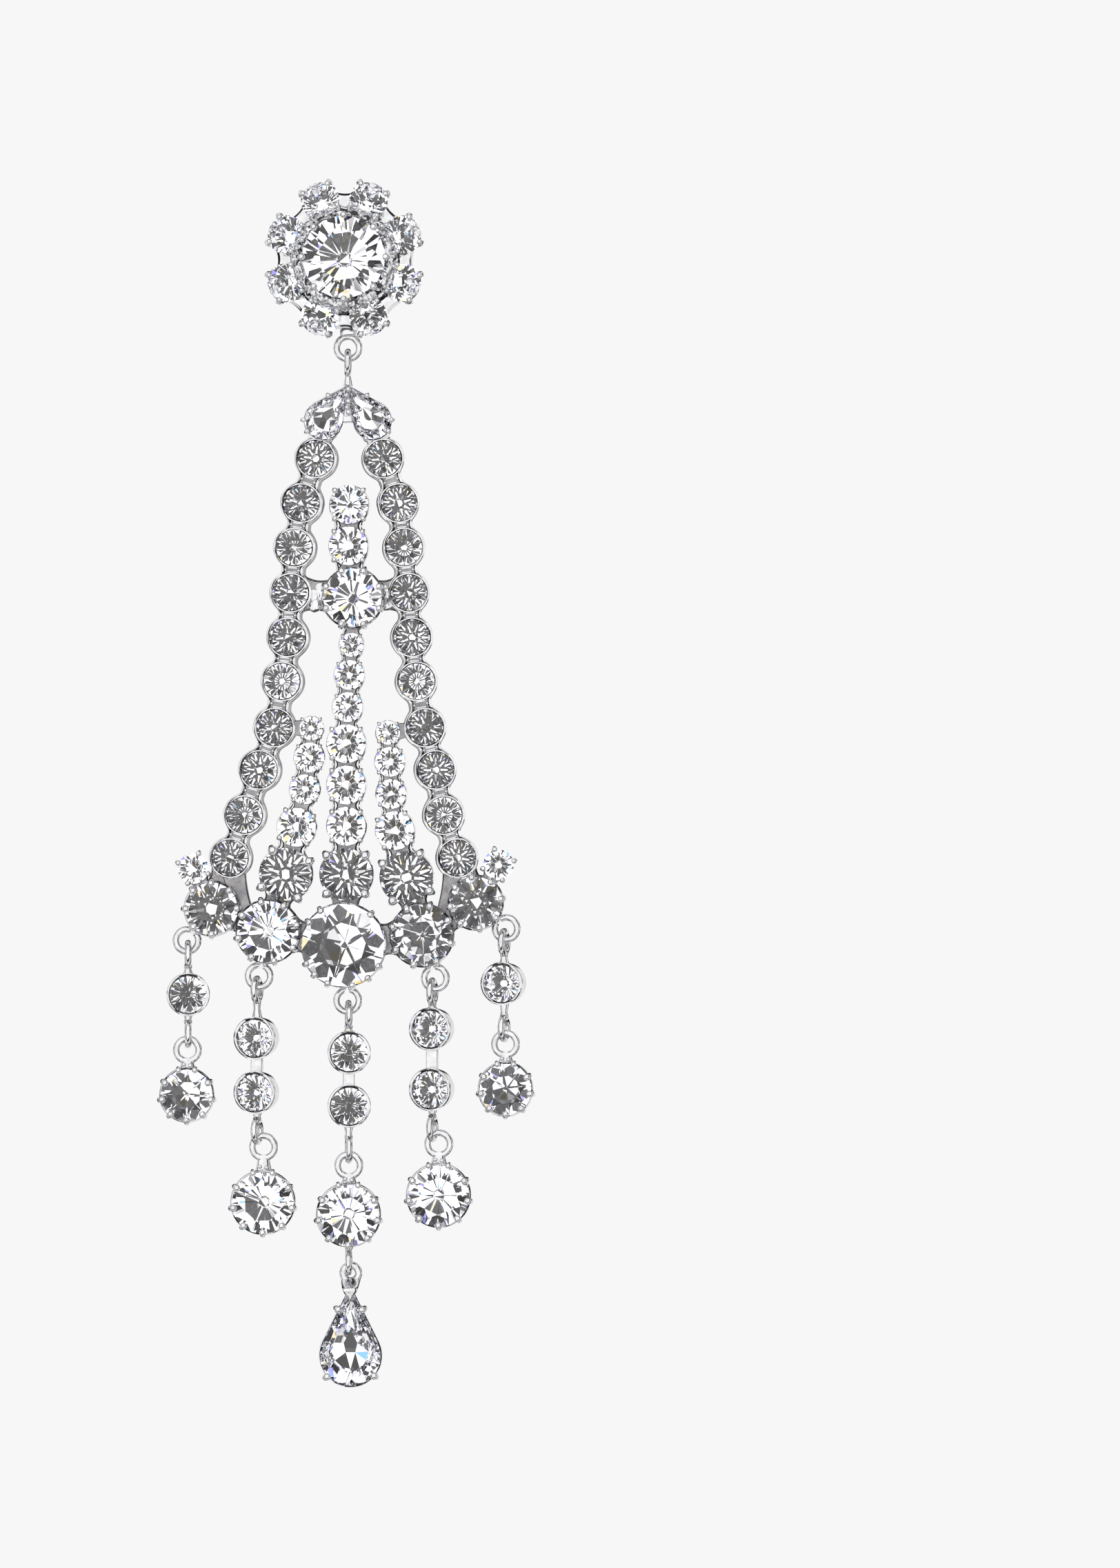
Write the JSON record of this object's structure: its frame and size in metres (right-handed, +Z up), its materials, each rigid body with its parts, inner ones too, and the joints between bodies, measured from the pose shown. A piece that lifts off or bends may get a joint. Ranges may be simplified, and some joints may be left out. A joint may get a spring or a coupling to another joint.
{
  "type": "chandelier earring",
  "caption": "Long chandelier earring: a flower stud over an openwork frame of set crystals, with hanging crystal strands and a pear drop.",
  "frame": {"origin": "where the post leaves the back of its pad, against the ear lobe", "axes": "+Z up, the stones face -Y, the post points along +Y"},
  "size_m": [0.0379, 0.0189, 0.1209],
  "materials": {
    "plated_metal": "polished rhodium plate over brass",
    "crystal": "clear faceted crystal with a foiled back"
  },
  "bodies": {
    "stud": {"ear_post": "plated_metal", "stud_centre_stone": "crystal", "stud_petal_stone_1": "crystal", "stud_petal_stone_2": "crystal", "stud_petal_stone_3": "crystal", "stud_petal_stone_4": "crystal", "stud_petal_stone_5": "crystal", "stud_petal_stone_6": "crystal", "stud_petal_stone_7": "crystal", "stud_petal_stone_8": "crystal", "stud_setting": "plated_metal"},
    "drop": {"chandelier_frame": "plated_metal", "column_1_stone": "crystal", "column_2_stone": "crystal", "column_3_stone": "crystal", "column_4_stone": "crystal", "column_5_stone": "crystal", "column_base_stone": "crystal", "column_large_stone": "crystal", "corner_left_stone": "crystal", "corner_right_stone": "crystal", "flank_left_stone": "crystal", "flank_right_stone": "crystal", "foot_stone": "crystal", "left_base_stone": "crystal", "left_column_stone": "crystal", "pear_drop_setting": "plated_metal", "pear_drop_stone": "crystal", "pear_left_stone": "crystal", "pear_right_stone": "crystal", "right_base_stone": "crystal", "right_column_stone": "crystal", "strand_1_drop_setting": "plated_metal", "strand_1_drop_stone": "crystal", "strand_1_link": "plated_metal", "strand_2_drop_setting": "plated_metal", "strand_2_drop_stone": "crystal", "strand_2_link": "plated_metal", "strand_3_drop_setting": "plated_metal", "strand_3_drop_stone": "crystal", "strand_3_link": "plated_metal", "strand_4_drop_setting": "plated_metal", "strand_4_drop_stone": "crystal", "strand_4_link": "plated_metal", "strand_5_drop_setting": "plated_metal", "strand_5_drop_stone": "crystal", "strand_5_link": "plated_metal", "tip_left_stone": "crystal", "tip_right_stone": "crystal"}
  },
  "joints": [
    {"name": "drop_swing", "type": "hinge", "parent": "stud", "child": "drop", "pos_m": [0.0003, -0.0024, -0.00998], "axis": [1, 0, 0], "range_deg": [-45, 30]}
  ]
}
